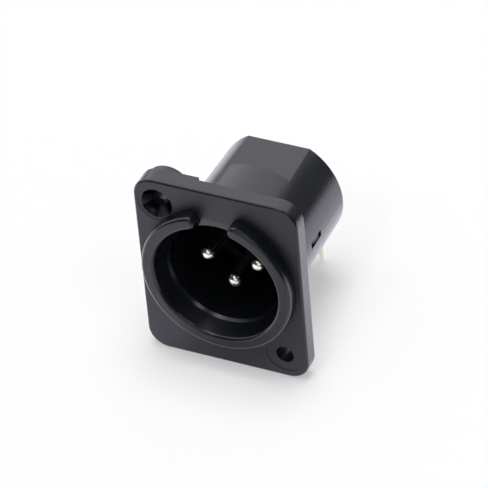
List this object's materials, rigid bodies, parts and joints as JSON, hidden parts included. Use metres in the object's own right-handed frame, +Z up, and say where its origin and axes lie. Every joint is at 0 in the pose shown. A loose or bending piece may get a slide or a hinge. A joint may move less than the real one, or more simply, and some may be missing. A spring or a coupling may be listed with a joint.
{
  "type": "xlr panel socket",
  "caption": "Panel socket for a round audio plug: black moulded flange and shell, domed pins in the bore, tails for a circuit board.",
  "frame": {"origin": "on the socket's axis, in the plane of the flange's front face", "axes": "+X to the right seen from the front, +Y along the axis into the socket, +Z up; the circuit board lies below, square to Z"},
  "size_m": [0.026, 0.0261, 0.0315],
  "materials": {
    "housing_plastic": "black glass-filled moulding, satin",
    "carrier_plastic": "black moulding, satin",
    "plated_pin": "bright plated, polished",
    "plated_strip": "tin plated, satin"
  },
  "bodies": {
    "root": {"housing": "housing_plastic", "contact_carrier": "carrier_plastic", "pin_1": "plated_pin", "pin_2": "plated_pin", "pin_3": "plated_pin", "ground_contact": "plated_strip"}
  },
  "joints": []
}
